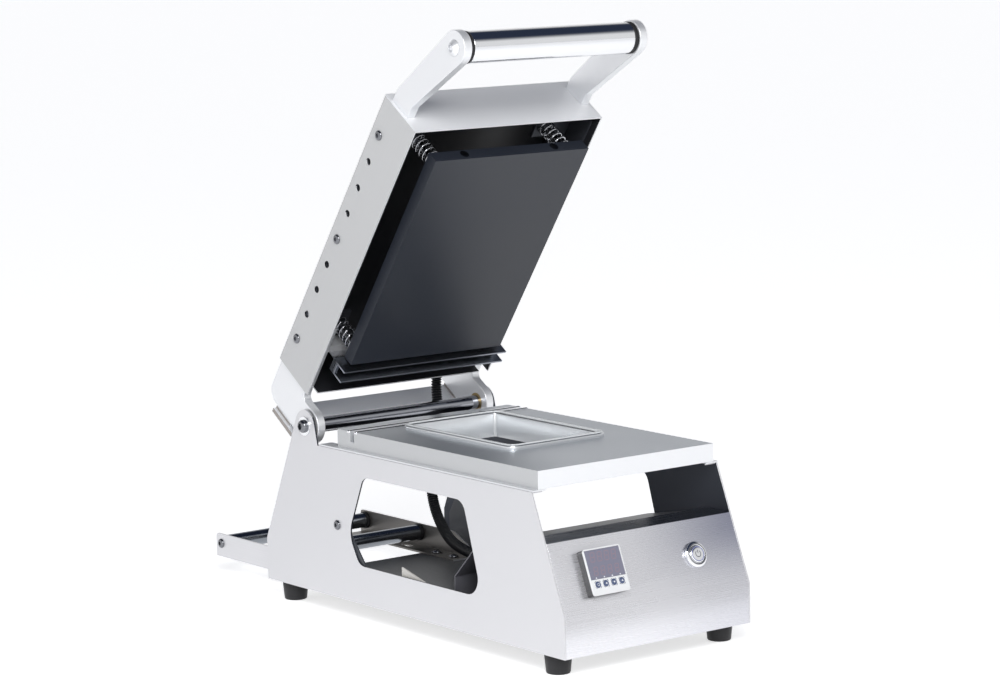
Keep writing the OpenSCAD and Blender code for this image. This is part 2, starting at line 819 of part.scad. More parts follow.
// Screws of the stop bar, of the cutter holder and of the handle arms' ends
module lid_frame_screws() {
    back = stop_in + stop_t;
    color(CHROME) lid_frame() both_sides() {
        for (z = [20, 36]) translate([arm_out - arm_t / 2, back, stop_low + z])
            rotate([-90, 0, 0]) button_screw(length = back - boss_r);
        for (z = handle_screw_zs)
            translate([arm_out - arm_t / 2, -lid_front + lid_sheet, z])
                rotate([-90, 0, 0]) button_screw(length = lid_sheet);
        for (x = [30, 90]) translate([x, -knife_u + blade_t / 2, holder_z + 8])
            rotate([-90, 0, 0]) button_screw(r = 2, length = blade_t);
    }
}

module spring_bracket(wall_x, u) {
    y0 = -u - bracket_len / 2;
    difference() {
        union() {
            translate([spring_x - 13, y0, bracket_z])
                cube([wall_x - spring_x + 13, bracket_len, bracket_t]);
            translate([wall_x - bracket_t, y0, bracket_z]) cube([bracket_t, bracket_len, 20]);
        }
        translate([spring_x, -u, bracket_z - 1]) cylinder(r = post_r + run_gap, h = 8);
    }
}

module spring_brackets() {
    color(SATIN) lid_frame() both_sides() {
        spring_bracket(arm_in, spring_us[0]);
        spring_bracket(arm_out, spring_us[1]);
    }
}

module cutter_holder() {
    color(SATIN) lid_frame() difference() {
        translate([-arm_in, -knife_u - blade_t / 2 - 8, holder_z]) cube([2 * arm_in, 8, 16]);
        for (x = [-90, -30, 30, 90]) translate([x, -knife_u - 2, holder_z + 8]) rotate([90, 0, 0])
            cylinder(r = 2.1, h = 12, center = true);
    }
}

// A saw-toothed film knife
module cutter_blade() {
    half = arm_in - 7.35;
    teeth = 26;
    step = 2 * half / teeth;
    top = holder_z + 16;
    color("#e3e6ea") lid_frame() translate([0, -knife_u + blade_t / 2, 0]) difference() {
        rotate([90, 0, 0]) linear_extrude(blade_t) polygon(concat(
            [[half, top], [-half, top], [-half, blade_tip + 3]],
            [for (i = [0:teeth - 1]) each [
                [-half + (i + 0.5) * step, blade_tip], [-half + (i + 1) * step, blade_tip + 3]]]));
        for (x = [-90, -30, 30, 90]) translate([x, 0, holder_z + 8]) rotate([90, 0, 0])
            cylinder(r = 2.1, h = 12, center = true);
    }
}

// ---- handle ----

function handle_outline() =
    let (c = [-grip_reach, grip_rise], low = [-lid_front - 14, lid_top - 42],
         high = [-lid_front - 14, lid_top - 11],
         a_low = touch(low, c, grip_boss, -1), a_high = touch(high, c, grip_boss, 1))
    concat([[-lid_front, lid_top - 42], low], arc(c, grip_boss, a_low, a_high - 360, 24),
           [high, [-lid_front, lid_top - 11]]);

module handle_arm() {
    color("#c6cbd1") lid_frame() difference() {
        across(arm_t, arm_out - arm_t / 2) polygon(handle_outline());
        translate([0, -grip_reach, grip_rise]) {
            rod(4.2, 3 * arm_t, arm_out);
            translate([arm_out - 4.4, 0, 0]) rotate([0, 90, 0])
                cylinder(r1 = 4.2, r2 = 9, h = 4.5);
        }
    }
}

module handle_arm_left() {
    mirror([1, 0, 0]) handle_arm();
}

module handle_arm_right() {
    handle_arm();
}

module handle_tube() {
    color(CHROME) lid_frame() translate([0, -grip_reach, grip_rise]) difference() {
        rod(grip_d / 2, 2 * (arm_in - ring_t));
        rod(4.2, 2 * arm_in);
    }
}

module handle_rings() {
    color(RUBBER) lid_frame() translate([0, -grip_reach, grip_rise]) both_sides() difference() {
        rod(grip_d / 2 + 0.4, ring_t, arm_in - ring_t / 2);
        rod(4.2, 3 * ring_t, arm_in);
    }
}

module handle_screws() {
    color("#2a2d33") lid_frame() translate([0, -grip_reach, grip_rise]) both_sides()
        translate([arm_out - 4.3, 0, 0]) rotate([0, 90, 0]) difference() {
            rotate_extrude() polygon([
                [0, -32], [4.1, -32], [4.1, 0], [8.6, 4.2], [0, 4.2]]);
            translate([0, 0, 1.2]) cylinder(r = 2.8, h = 4, $fn = 6);
        }
}

module conduit_gland_lid() {
    color("#3c4148") lid_frame() translate(lid_gland) rotate([-90, 0, 0])
        gland(lid_sheet, conduit_d / 2, conduit_d / 2 - 1.5);
}

// ---- sealing head ----

module heater_plate() {
    color("#22262f") lid_frame() difference() {
        translate([-heater_w / 2, -heater_rear - heater_len, heater_face])
            cube([heater_w, heater_len, heater_t]);
        for (x = [-60, 60]) translate([x, -heater_rear - heater_len - 1, heater_back - 6])
            rotate([-90, 0, 0]) cylinder(r = 5.1, h = heater_len - 40);
    }
}

module heating_elements() {
    color("#9a9da3") lid_frame() for (x = [-60, 60])
        translate([x, -heater_rear - heater_len, heater_back - 6]) rotate([-90, 0, 0])
            cylinder(r = 5, h = heater_len - 60);
}

module film_press_bars() {
    bar_x = arm_in - 0.15;
    color("#59606b") lid_frame() {
        for (u = [knife_u - strip_y, knife_u + strip_y])
            translate([-bar_x, -u - bar_t / 2, bar_tip])
                cube([2 * bar_x, bar_t, bar_top - bar_tip]);
        both_sides() translate([bar_x - 4, -knife_u - strip_y, heater_back - 4])
            cube([4, 2 * strip_y, bar_top - heater_back + 4]);
        translate([14 - spring_x, -heater_rear - 8, heater_back])
            cube([2 * (spring_x - 14), 8 + heater_rear - knife_u - strip_y, bar_t]);
    }
}

module guide_posts() {
    color(CHROME) lid_frame() both_sides() for (u = spring_us) translate([spring_x, -u, 0])
        rotate_extrude() polygon([
            [0, heater_back], [post_r, heater_back], [post_r, bracket_z + bracket_t + 0.2],
            [6.5, bracket_z + bracket_t + 0.2], [6.5, bracket_z + bracket_t + post_head],
            [0, bracket_z + bracket_t + post_head]]);
}

module press_springs() {
    turn_steps = 12;
    mean_r = (spring_d - spring_wire) / 2;
    low = heater_back + spring_wire / 2 + 0.1;
    high = bracket_z - spring_wire / 2 - 0.1;
    steps = spring_turns * turn_steps;
    coil = [for (i = [0:steps]) [
        mean_r * cos(360 * i / turn_steps), mean_r * sin(360 * i / turn_steps),
        low + (high - low) * i / steps]];
    color("#2f333a") lid_frame() both_sides() for (u = spring_us)
        translate([spring_x, -u, 0]) tube(coil, spring_wire / 2, 6);
}

side_plate_left();
side_plate_right();
front_panel();
base_pan();
control_box_cover();
mould_rails();
rubber_feet();
foot_screws();
frame_screws();
mould_plate();
tray_seat_frame();
seat_gasket();
film_clamp_strips();
hinge_shaft();
hinge_bolts();
hinge_washers();
film_bracket_left();
film_bracket_right();
roller_axles();
roller_bushes();
film_roller_front();
film_roller_rear();
controller_body();
controller_bezel();
controller_window();
controller_key_1();
controller_key_2();
controller_key_3();
controller_key_4();
power_switch_housing();
power_switch_nut();
power_switch_body();
power_button();
conduit_gland_base();
mains_gland();
solid_state_relay();
terminal_block();
heater_conduit();
lid_shell();
lid_arm_left();
lid_arm_right();
arm_bushings();
lid_side_rails();
lid_side_screws();
rear_stop_bar();
lid_frame_screws();
spring_brackets();
cutter_holder();
cutter_blade();
handle_arm_left();
handle_arm_right();
handle_tube();
handle_rings();
handle_screws();
conduit_gland_lid();
heater_plate();
film_press_bars();
guide_posts();
heating_elements();
press_springs();
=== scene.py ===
"""Looks of a table-top tray sealer with its lid open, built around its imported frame.

Metres. +X to the operator's right, +Y to the rear, +Z up, with the floor at z = 0.
"""

import json
import math

import bmesh
import bpy
from mathutils import Matrix, Vector


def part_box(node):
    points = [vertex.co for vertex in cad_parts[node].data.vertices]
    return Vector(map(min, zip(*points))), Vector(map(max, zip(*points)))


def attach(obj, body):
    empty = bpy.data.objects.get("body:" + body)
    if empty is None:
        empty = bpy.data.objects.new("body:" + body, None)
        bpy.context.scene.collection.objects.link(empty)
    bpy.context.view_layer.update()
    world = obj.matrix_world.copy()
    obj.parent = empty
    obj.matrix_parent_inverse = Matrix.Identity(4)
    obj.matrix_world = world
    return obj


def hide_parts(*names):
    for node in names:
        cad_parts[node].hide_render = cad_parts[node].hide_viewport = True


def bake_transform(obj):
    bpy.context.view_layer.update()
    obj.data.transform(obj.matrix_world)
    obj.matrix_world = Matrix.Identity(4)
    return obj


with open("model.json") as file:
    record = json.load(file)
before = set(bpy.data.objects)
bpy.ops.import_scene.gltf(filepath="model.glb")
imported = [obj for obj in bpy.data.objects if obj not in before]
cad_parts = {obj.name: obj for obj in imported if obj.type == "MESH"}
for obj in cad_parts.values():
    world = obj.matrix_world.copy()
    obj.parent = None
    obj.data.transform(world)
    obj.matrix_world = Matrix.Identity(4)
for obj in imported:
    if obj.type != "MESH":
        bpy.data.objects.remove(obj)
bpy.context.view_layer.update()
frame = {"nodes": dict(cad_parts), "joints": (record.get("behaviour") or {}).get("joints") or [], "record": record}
NODES = frame["nodes"]
RECORD = frame["record"]
TONE = {m["slot"]: m["base_color"] for m in RECORD["materials"]}
SLOT_OF = {s["node"]: s["material_slot"] for s in RECORD["subparts"]}
BODY_OF = {n: body for body, nodes in RECORD["behaviour"]["bodies"].items() for n in nodes}
JOINTS = {j["name"]: j for j in frame["joints"]}
MM = 0.001
scene = bpy.context.scene

# ---- camera ----

CAMERA_AT = (-2.1879, -2.8859, 0.8148)
AZIMUTH, ELEVATION, ROLL = (math.radians(a) for a in (-37.891, 8.313, -0.973))
LENS, SENSOR = 121.2, 36
NEAREST, FARTHEST = 0.05, 300


def make_camera():
    """Looks at the sealer from the front left and a little from above."""
    back = Vector((math.sin(AZIMUTH) * math.cos(ELEVATION),
                   -math.cos(AZIMUTH) * math.cos(ELEVATION), math.sin(ELEVATION)))
    right = (-back).cross(Vector((0, 0, 1))).normalized()
    up = right.cross(-back)
    axes = (right * math.cos(ROLL) + up * math.sin(ROLL),
            up * math.cos(ROLL) - right * math.sin(ROLL), back)
    camera = bpy.data.objects.new("camera", bpy.data.cameras.new("camera"))
    camera.data.lens, camera.data.sensor_width = LENS, SENSOR
    camera.data.clip_start, camera.data.clip_end = NEAREST, FARTHEST
    camera.matrix_world = Matrix.Translation(CAMERA_AT) @ Matrix(axes).transposed().to_4x4()
    scene.collection.objects.link(camera)
    scene.camera = camera


make_camera()

# ---- frames of reference ----

HINGE = Vector(JOINTS["lid_hinge"]["pos_m"])
OPEN = math.radians(JOINTS["lid_hinge"]["range_deg"][1])
BASE = Matrix.Identity(4)
LID = Matrix.Translation(HINGE) @ Matrix.Rotation(-OPEN, 4, "X")


def panel_frame():
    """Turned so that Z stands out of the front panel and Y runs up it."""
    out = -Vector(JOINTS["power_button_press"]["axis"]).normalized()
    across = Vector((1, 0, 0))
    return Matrix((across, out.cross(across), out)).transposed().to_4x4()


PANEL = panel_frame()


def corners(points):
    """Lowest and highest corner of some points."""
    return (Vector([min(p[a] for p in points) for a in range(3)]),
            Vector([max(p[a] for p in points) for a in range(3)]))


def extent(node, place=BASE):
    """Lowest and highest corner of a node, measured in a turned frame."""
    back = place.inverted()
    return corners([back @ v.co for v in NODES[node].data.vertices])


def in_mm(pair):
    """Two corners in millimetres."""
    return [corner / MM for corner in pair]


def spot(x, y, z):
    """A frame at a point given in millimetres."""
    return Matrix.Translation(Vector((x, y, z)) * MM)


def towards(point, direction):
    """A frame at a point whose Z looks along a direction."""
    turn = Vector(direction).to_track_quat("Z", "Y").to_matrix().to_4x4()
    return Matrix.Translation(point) @ turn


# ---- shader nodes ----

LOOKS_ALONG = (0.8, 0.92)  # cosines between which a skin starts to look along a direction
LOOKS_INWARD = (0.004, 0.012)  # how far, in metres, a wall faces the middle of its hollow
BRUSH_FINE, BRUSH_LONG = 1100, 3  # grains a metre across and along the brushing


class Flow:
    """A shader node's output, which takes part in sums as a number does."""

    def __init__(self, paint, socket):
        self.paint, self.socket = paint, socket

    def math(self, operation, *terms):
        """A Math node on the terms."""
        return self.paint.node("ShaderNodeMath", {"operation": operation}, *terms)

    def __add__(self, other):
        return self.math("ADD", self, other)

    def __sub__(self, other):
        return self.math("SUBTRACT", self, other)

    def __rsub__(self, other):
        return self.math("SUBTRACT", other, self)

    def __mul__(self, other):
        return self.math("MULTIPLY", self, other)

    __radd__, __rmul__ = __add__, __mul__

    def size(self):
        """The value without its sign."""
        return self.math("ABSOLUTE", self)

    def limited(self):
        """The value, kept between 0 and 1."""
        return self.paint.node("ShaderNodeClamp", {}, self)

    def step(self, low, high):
        """0 below low, 1 above high and smooth between them."""
        return self.paint.node("ShaderNodeMapRange", {"interpolation_type": "SMOOTHSTEP"},
                               self, low, high)


class Paint:
    """A node tree while it is being made."""

    def __init__(self, tree):
        self.tree = tree
        tree.nodes.clear()

    def node(self, kind, settings, *inputs, out=0, **named):
        """A new node with its settings and the values or links of its sockets.

        None leaves a socket as it is. out picks the output that is handed back.
        """
        made = self.tree.nodes.new(kind)
        for key, value in settings.items():
            setattr(made, key, value)
        for key, value in [*enumerate(inputs), *named.items()]:
            socket = made.inputs[key if isinstance(key, int) else key.replace("_", " ")]
            if isinstance(value, Flow):
                self.tree.links.new(value.socket, socket)
            elif value is not None:
                socket.default_value = value
        return Flow(self, made.outputs[out]) if made.outputs else None

    def mixed(self, share, low, high):
        """A colour between two colours. The colours are the node's sockets 6 and 7."""
        between = (None,) * 5
        return self.node("ShaderNodeMix", {"data_type": "RGBA"}, share, *between, low, high,
                         out=2)

    def noise(self, stretch, detail=3, turn=(0, 0, 0)):
        """Noise with so many grains a metre along each axis of the object."""
        where = self.node("ShaderNodeTexCoord", {}, out="Object")
        if any(turn):
            where = self.node("ShaderNodeMapping", {}, where, None, turn)
        where = self.node("ShaderNodeMapping", {}, where, None, None, stretch)
        return self.node("ShaderNodeTexNoise", {}, Vector=where, Scale=1, Detail=detail,
                         Roughness=0.55)

    def along(self, source, direction):
        """How far the place or the normal reaches along a direction."""
        vector = self.node("ShaderNodeTexCoord", {}, out=source)
        return self.node("ShaderNodeVectorMath", {"operation": "DOT_PRODUCT"}, vector,
                         tuple(direction), out="Value")

    def facing(self, direction):
        """1 on the skin that looks along a direction, either way."""
        return self.along("Normal", direction).size().step(*LOOKS_ALONG)

    def inside(self, middle):
        """1 on the walls of a hollow that look at its middle."""
        place = self.node("ShaderNodeTexCoord", {}, out="Object")
        normal = self.node("ShaderNodeTexCoord", {}, out="Normal")
        reach = self.node("ShaderNodeVectorMath", {"operation": "SUBTRACT"}, tuple(middle), place)
        inward = self.node("ShaderNodeVectorMath", {"operation": "DOT_PRODUCT"}, reach, normal,
                           out="Value")
        return inward.step(*LOOKS_INWARD)

    def toned(self, share, tone, spread, areas=()):
        """A tone that varies a little, with other tones where the areas' masks are 1."""
        colour = self.mixed(share.limited(), shade(tone, 1 - spread), shade(tone, 1 + spread))
        for mask, other in areas:
            own = self.mixed(share.limited(), shade(other, 1 - spread), shade(other, 1 + spread))
            colour = self.mixed(mask(self), colour, own)
        return colour

    def surface(self, colour, roughness, metallic=0.0, bump=None, depth=0.0, strength=0.0,
                **fixed):
        """The shader, with its output. The fixed values go to the shader's own sockets."""
        normal = bump and self.node("ShaderNodeBump", {}, Strength=strength, Distance=depth,
                                    Height=bump)
        shader = self.node("ShaderNodeBsdfPrincipled", {}, Base_Color=colour,
                           Roughness=roughness, Metallic=metallic, Normal=normal, **fixed)
        self.node("ShaderNodeOutputMaterial", {}, shader)


def shade(colour, factor):
    """A colour, lighter or darker by a factor."""
    return (*[min(1, c * factor) for c in colour], 1)


def new_paint(name):
    """A new material and the paint that makes its nodes."""
    material = bpy.data.materials.new(name)
    material.use_nodes = True
    return material, Paint(material.node_tree)


def brushed(name, tone, roughness, contrast=0.05, turn=0, metallic=1.0, relief=0.12,
            areas=()):
    """Brushed sheet: the grain runs along the length on the sides and across elsewhere."""
    material, paint = new_paint(name)
    tilt = (turn, 0, 0)
    across = paint.noise((BRUSH_LONG, BRUSH_FINE, BRUSH_FINE), turn=tilt)
    along = paint.noise((BRUSH_FINE, BRUSH_LONG, BRUSH_FINE), turn=tilt)
    side = paint.along("Normal", (1, 0, 0)).size().step(0.45, 0.6)
    grain = across + (along - across) * side
    cloud = paint.noise((14, 14, 14), 2)
    colour = paint.toned(grain + (cloud - 0.5) * 0.5, tone, contrast, areas)
    rough = (grain - 0.5) * 0.14 + (cloud - 0.5) * 0.1 + roughness
    paint.surface(colour, rough, metallic, grain, 0.05 * MM, relief)
    return material


def satin(name, tone, roughness, metallic=1.0, grain=2600, relief=0.1, spread=0.04,
          areas=(), **fixed):
    """A fine, even, silky skin."""
    material, paint = new_paint(name)
    speck = paint.noise((grain,) * 3, 2)
    cloud = paint.noise((11, 11, 11))
    colour = paint.toned(speck * 0.5 + cloud * 0.5, tone, spread, areas)
    rough = (speck - 0.5) * 0.12 + (cloud - 0.5) * 0.12 + roughness
    paint.surface(colour, rough, metallic, speck, 0.06 * MM, relief, **fixed)
    return material


def polished(name, tone, roughness):
    """Plated or polished metal with faint rubbing marks."""
    material, paint = new_paint(name)
    rub = paint.noise((40, 900, 900))
    cloud = paint.noise((20, 20, 20), 2)
    rough = (rub - 0.5) * 0.06 + (cloud - 0.5) * 0.05 + roughness
    paint.surface(paint.toned(cloud, tone, 0.03), rough, 1.0, rub, 0.02 * MM, 0.02)
    return material


def coated(name, tone, roughness, areas=()):
    """Powder coat with a fine orange peel."""
    material, paint = new_paint(name)
    peel = paint.noise((420, 420, 420), 2)
    cloud = paint.noise((12, 12, 12), 2)
    rough = (peel - 0.5) * 0.1 + (cloud - 0.5) * 0.1 + roughness
    paint.surface(paint.toned(cloud, tone, 0.1, areas), rough, 0.0, peel, 0.1 * MM, 0.25)
    return material


def plain(name, tone, roughness, grain=1500, relief=0.08, **fixed):
    """Moulded plastic, rubber or silicone."""
    return satin(name, tone, roughness, 0.0, grain, relief, spread=0.06, **fixed)


# ---- areas with a tone of their own, or with painted shade or painted reflection ----


def middle_of(node):
    """The middle of a node's box."""
    low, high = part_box(node)
    return (Vector(low) + Vector(high)) / 2


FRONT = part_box("side_plate_left")[0][1]
BASE_MIDDLE, LID_MIDDLE = (0, 0, 0.1), middle_of("lid_shell")
CRADLE_MIDDLE = (middle_of("film_bracket_left") + middle_of("film_bracket_right")) / 2
PANEL_OUT = PANEL.to_3x3().col[2]
BEZEL_FRONT = extent("controller_bezel", PANEL)[1].z
BEZEL_FACE, FACE_EDGE = 2 * MM, 0.1 * MM
TABS_START, TABS_END, TABS_FOOT = 222 * MM, 288 * MM, 30 * MM


def facing(*direction):
    """The skin that looks along a direction, either way, where painted light, shade or reflection goes."""
    return lambda paint: paint.facing(direction)


def walls_around(middle):
    """The inner walls of a hollow with the given middle, where shade is painted."""
    return lambda paint: paint.inside(middle)


def on_the_tabs(paint):
    """The upright tabs inside the base pan's sides."""
    depth, height = paint.along("Object", (0, 1, 0)), paint.along("Object", (0, 0, 1))
    start, end = FRONT + TABS_START, FRONT + TABS_END
    past_start, past_end = depth.step(start, start + MM), depth.step(end, end + MM)
    return past_start * (1 - past_end) * height.step(TABS_FOOT, TABS_FOOT + MM)


def on_the_skirt(paint):
    """The controller's front frame behind its thin white face."""
    edge = BEZEL_FRONT - BEZEL_FACE
    return 1 - paint.along("Object", PANEL_OUT).step(edge - FACE_EDGE, edge + FACE_EDGE)


def at_the_painted_reflection(paint):
    """The panel's upper right, where a painted reflection makes the sheet darker and bluer."""
    across = paint.along("Object", (1, 0, 0)).step(-50 * MM, 150 * MM)
    up = paint.along("Object", (0, 0, 1)).step(60 * MM, 125 * MM)
    return across * (up * 0.75 + 0.25)


# ---- finishes ----

STEEL = (0.86, 0.87, 0.89)
SATIN_STEEL = (0.70, 0.70, 0.72)
# Painted reflection: dark navy on the panel's upward faces
TOP_REFLECTION_STEEL = (0.10, 0.11, 0.14)
# Painted shade: near black on the inner walls of the side plates
INNER_SHADE_STEEL = (0.045, 0.05, 0.065)
# Painted reflection: the panel darker and bluer towards its upper right
PAINTED_REFLECTION_STEEL = (0.27, 0.28, 0.36)
TAB_STEEL = (0.72, 0.70, 0.66)
SCREW_STEEL = (0.2, 0.205, 0.22)
# Painted shade: near black on the fittings inside the lid
FITTING_SHADE_STEEL = (0.07, 0.075, 0.09)
# Painted shade: near black on the lid's inner walls
LID_INSIDE_SHADE = (0.02, 0.021, 0.025)
# Painted shade: the lid's sides, a darker copy of its steel
LID_SIDE_SHADE = (0.6, 0.605, 0.61)
# Painted shade: the mould's sides, a darker copy of its steel
MOULD_SIDE_SHADE = (0.55, 0.56, 0.57)
# Painted shade: the film brackets' inner walls
BRACKET_INSIDE_SHADE = (0.2, 0.19, 0.18)
# Painted shade: the stop bar's end faces, darker and warmer
STOP_END_SHADE = (0.36, 0.33, 0.31)
SHEATH = (0.03, 0.032, 0.04)
CONDUIT_BLACK = (0.012, 0.013, 0.016)
DIGIT_TONE = (0.27, 0.2, 0.25)
MARK_TONE = (0.85, 0.86, 0.9)
RING_TONE = (0.16, 0.18, 0.42)
ENGRAVING = (0.05, 0.055, 0.07)


def glowing(name, colour, strength):
    """A lens that gives a little light of its own."""
    material, paint = new_paint(name)
    cloud = paint.noise((900, 900, 900), 2)
    paint.surface(paint.toned(cloud, colour, 0.1), 0.3, Emission_Color=(*colour, 1),
                  Emission_Strength=strength)
    return material


FINISH = {
    # The side plates' inner walls carry a painted shade, near black.
    "side": satin("satin_steel_sides", SATIN_STEEL, 0.4, metallic=0.6, grain=3000,
                  relief=0.05, spread=0.015, areas=[(walls_around(BASE_MIDDLE), INNER_SHADE_STEEL)]),
    # The lid's sides carry a painted shade, a darker copy of its steel, and its inner walls a near-black painted
    # shade.
    "lid": brushed("satin_steel_lid", STEEL, 0.36, contrast=0.025, turn=OPEN, metallic=0.12,
                   relief=0.05, areas=[(facing(1, 0, 0), LID_SIDE_SHADE),
                                       (walls_around(LID_MIDDLE), LID_INSIDE_SHADE)]),
    # Painted reflection on the panel: darker and bluer towards its upper right, dark navy on its upward faces.
    "panel": brushed("brushed_steel_panel", TONE["panel"], 0.28, contrast=0.04, metallic=0.8,
                     relief=0.02, areas=[(at_the_painted_reflection, PAINTED_REFLECTION_STEEL),
                                         (facing(0, 0, 1), TOP_REFLECTION_STEEL)]),
    "pan": coated("powder_coat_pan", TONE["pan"], 0.4, areas=[(on_the_tabs, TAB_STEEL)]),
    "cover": coated("powder_coat_cover", TONE["cover"], 0.36),
    # Painted light and shade: the mould's front faces are painted lighter, its top keeps the mould's tone and its
    # sides are painted darker.
    "mould": satin("anodised_mould", STEEL, 0.36, metallic=0.6, grain=2400, relief=0.12,
                   spread=0.03, areas=[(facing(0, 0, 1), TONE["mould"]),
                                       (facing(1, 0, 0), MOULD_SIDE_SHADE)]),
    "seat": satin("satin_tray_seat", TONE["seat"], 0.3, grain=2400, relief=0.08),
    "silicone": plain("silicone_gasket", TONE["silicone"], 0.5),
    "rubber": plain("black_rubber", TONE["rubber"], 0.45, grain=900, relief=0.15,
                    Specular_IOR_Level=0.3),
    "chrome": polished("polished_steel", TONE["chrome"], 0.1),
    "screw": polished("screw_steel", SCREW_STEEL, 0.2),
    "shaft": polished("dark_polished_shaft", TONE["shaft"], 0.12),
    # The cradle brackets' inner walls carry a painted shade.
    "bracket": brushed("satin_brackets", SATIN_STEEL, 0.34, metallic=0.7, relief=0.05,
                       areas=[(walls_around(CRADLE_MIDDLE), BRACKET_INSIDE_SHADE)]),
    "roller": polished("anodised_rollers", TONE["roller"], 0.16),
    "alu": satin("satin_aluminium", STEEL, 0.36, metallic=0.6, grain=2200, relief=0.06,
                 spread=0.02),
    "bronze": satin("sintered_bronze", TONE["bronze"], 0.4, grain=1800, relief=0.3),
    # The stop bar's end faces carry a painted shade.
    "stopbar": satin("satin_stop_bar", STEEL, 0.4, metallic=0.4, spread=0.03,
                     areas=[(facing(1, 0, 0), STOP_END_SHADE)]),
    "blade": brushed("ground_knife", TONE["blade"], 0.18, turn=OPEN),
    "ptfe": satin("black_release_coat", TONE["ptfe"], 0.36, metallic=0.0, grain=1200,
                  relief=0.15, spread=0.2),
    "bars": brushed("satin_press_bars", TONE["bars"], 0.3, contrast=0.08, turn=OPEN),
    "spring": polished("bright_spring_wire", TONE["spring"], 0.16),
    "black": plain("black_moulding", TONE["black"], 0.42),
    "bezel": plain("white_moulding", TONE["bezel"], 0.3, areas=[(on_the_skirt, TONE["black"])]),
    "display": plain("smoked_display", TONE["display"], 0.12, grain=300, relief=0.0,
                     Coat_Weight=0.5),
    "keys": plain("dark_blue_keys", TONE["keys"], 0.16, grain=900, relief=0.02,
                  Coat_Weight=0.6),
    "block": plain("cream_moulding", TONE["block"], 0.45),
    "element": satin("oxidised_sheath", SHEATH, 0.4),
    "sockets": satin("black_oxide", TONE["sockets"], 0.32),
    # Near black as painted shade, so the spring brackets and side rails sit in the lid's dark inside.
    "fittings": satin("painted_shade_fittings", FITTING_SHADE_STEEL, 0.4, metallic=0.5),
    "conduit": plain("black_conduit", CONDUIT_BLACK, 0.3, grain=900, relief=0.05,
                     Specular_IOR_Level=0.4),
    "digits": plain("unlit_digits", DIGIT_TONE, 0.2),
    "marks": plain("white_print", MARK_TONE, 0.4),
    "ring": glowing("blue_ring", RING_TONE, 0.1),
    "symbol": plain("dark_engraving", ENGRAVING, 0.4),
}

# ---- making pieces ----

WELD = 2e-6  # points nearer than this, in metres, are one point
FLAT_WITHIN = math.radians(0.4)  # faces that turn less than this are one flat face
BREAKS_FROM = math.radians(30)  # edges sharper than this are broken


def add(name, shape, finish, body, stands_for=(), bevel=0.0, sharp=32, segments=2,
        slot=None):
    """Makes a piece of a shape, and lets it ride on its body.

    bevel breaks the edges by so many metres. Without it, edges over sharp degrees stay crisp.
    """
    bmesh.ops.recalc_face_normals(shape, faces=shape.faces)
    mesh = bpy.data.meshes.new(name)
    shape.to_mesh(mesh)
    shape.free()
    mesh.materials.append(FINISH[finish])
    mesh.shade_smooth()
    piece = bpy.data.objects.new(name, mesh)
    scene.collection.objects.link(piece)
    if bevel:
        edge = piece.modifiers.new("edges", "BEVEL")
        edge.width, edge.segments, edge.limit_method = bevel, segments, "ANGLE"
        edge.angle_limit, edge.miter_outer = BREAKS_FROM, "MITER_ARC"
        piece.modifiers.new("normals", "WEIGHTED_NORMAL")
    else:
        mesh.set_sharp_from_angle(angle=math.radians(sharp))
    if body:
        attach(piece, body)
    if stands_for:
        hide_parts(*stands_for)
    slot or finish in TONE
    return piece


def node_shape(node):
    """The node's solids, with their flat faces whole again."""
    data = NODES[node].data
    shape = bmesh.new()
    points = [shape.verts.new(v.co) for v in data.vertices]
    for polygon in data.polygons:
        shape.faces.new([points[i] for i in polygon.vertices])
    bmesh.ops.remove_doubles(shape, verts=shape.verts, dist=WELD)
    bmesh.ops.dissolve_limit(shape, angle_limit=FLAT_WITHIN, verts=shape.verts,
                             edges=shape.edges)
    return shape


FINISH_OF = {**SLOT_OF, "side_plate_left": "side", "side_plate_right": "side",
             "lid_shell": "lid", "lid_side_rails": "fittings", "spring_brackets": "fittings"}
FINER_EDGES = ("mould_plate", "heater_plate", "controller_bezel")


def softened(node, width):
    """The node's own shape with its sharp edges broken by a width in millimetres."""
    return add(f"{node}_piece", node_shape(node), FINISH_OF[node], BODY_OF[node], [node],
               bevel=width * MM, segments=3 if node in FINER_EDGES else 2, slot=SLOT_OF[node])


def islands(node, place=BASE):
    """The points of each separate solid of a node, in a turned frame."""
    shape = bmesh.new()
    shape.from_mesh(NODES[node].data)
    bmesh.ops.remove_doubles(shape, verts=shape.verts, dist=WELD)
    back, seen, found = place.inverted(), set(), []
    for start in shape.verts:
        if start in seen:
            continue
        group, waiting = [], [start]
        seen.add(start)
        while waiting:
            vert = waiting.pop()
            group.append(back @ vert.co)
            for edge in vert.link_edges:
                other = edge.other_vert(vert)
                if other not in seen:
                    seen.add(other)
                    waiting.append(other)
        found.append(group)
    shape.free()
    return found


def skin(shape, rings, closed=False):
    """Joins rings of points with faces. A ring of one point is a tip."""
    pairs = list(zip(rings, rings[1:])) + ([(rings[-1], rings[0])] if closed else [])
    for low, high in pairs:
        sides = max(len(low), len(high))
        for k in range(sides):
            m = (k + 1) % sides
            face = [low[k % len(low)], low[m % len(low)], high[m % len(high)],
                    high[k % len(high)]]
            shape.faces.new(dict.fromkeys(face))


def turned(profile, sides, closed=False, shape=None, place=BASE):
    """A shape turned about Z from points (radius, height), in millimetres.

    A third number makes a ring with so many flats, and the radius is half the width over them.
    """
    shape = shape or bmesh.new()
    rings = []
    for radius, height, *flats in profile:
        step = math.tau / flats[0] if flats else math.tau
        ring = []
        for k in range(sides if radius else 1):
            turn = math.tau * k / sides
            r = radius / math.cos(turn % step - step / 2) if flats else radius
            ring.append(shape.verts.new(place @ Vector(
                (r * math.cos(turn) * MM, r * math.sin(turn) * MM, height * MM))))
        rings.append(ring)
    skin(shape, rings, closed)
    return shape


